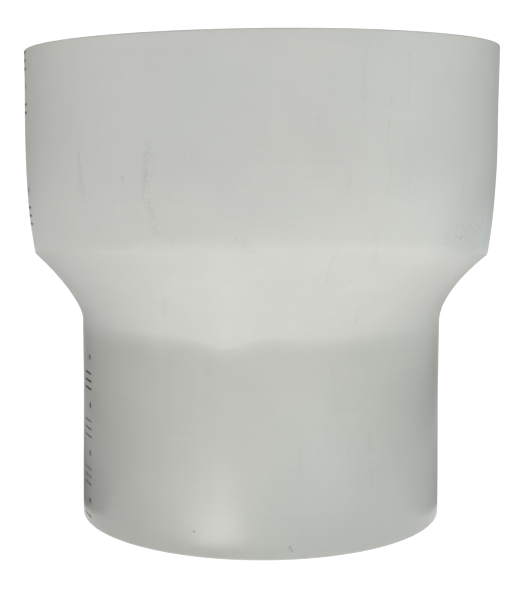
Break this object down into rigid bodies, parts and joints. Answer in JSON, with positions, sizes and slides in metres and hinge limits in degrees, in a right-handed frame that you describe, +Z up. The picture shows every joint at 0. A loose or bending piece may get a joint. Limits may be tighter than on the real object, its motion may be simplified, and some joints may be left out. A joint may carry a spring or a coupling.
{
  "type": "eccentric pipe reducer",
  "caption": "Light grey plastic eccentric reducer joining a large drain pipe to a smaller one with both flush along one side.",
  "frame": {"origin": "on the large pipe's axis, level with the small end's cut face", "axes": "+Z up along both pipe axes from the small end to the large end; +Y towards the straight back where both pipes are flush; -Y towards the slope"},
  "size_m": [0.25, 0.25, 0.255],
  "materials": {
    "large_pipe_plastic": "matt light grey, faintly mottled by heating",
    "taper_plastic": "matt light grey, formed over a mandrel",
    "spigot_plastic": "satin light grey as extruded, with faint lines along the pipe",
    "weld_plastic": "matt light grey, dressed flush outside, round bead inside"
  },
  "bodies": {
    "root": {"large_end_pipe": "large_pipe_plastic", "collar_weld": "weld_plastic", "eccentric_taper": "taper_plastic", "neck_weld": "weld_plastic", "spigot_pipe": "spigot_plastic"}
  },
  "joints": []
}
